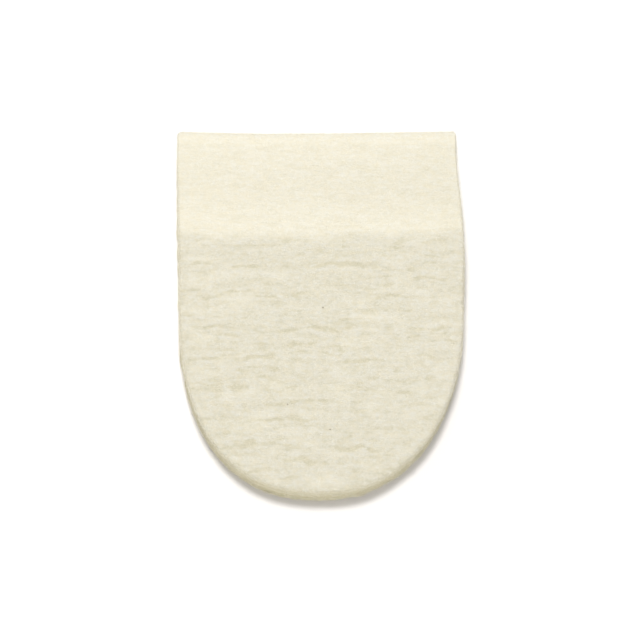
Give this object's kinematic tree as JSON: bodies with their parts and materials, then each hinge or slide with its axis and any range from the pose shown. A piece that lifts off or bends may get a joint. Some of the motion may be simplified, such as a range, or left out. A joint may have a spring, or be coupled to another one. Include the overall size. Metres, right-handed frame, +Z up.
{
  "type": "heel pad",
  "caption": "D-shaped heel pad of thick wool felt with a rounded heel end, a softly rounded rim and a long slope skived down to a thin straight front edge.",
  "frame": {"origin": "centre of the pad's box in plan, at the flat underside that rests on the surface", "axes": "+Y along the pad from the round heel end to the thin straight edge, +X across it to the right, +Z up out of the felt's top"},
  "size_m": [0.0574, 0.0772, 0.0065],
  "materials": {
    "wool_felt": "cream pressed wool felt, matt, with fine fibres, a fuzzy cut edge and a smoother skived slope"
  },
  "bodies": {
    "root": {"felt_pad": "wool_felt"}
  },
  "joints": []
}
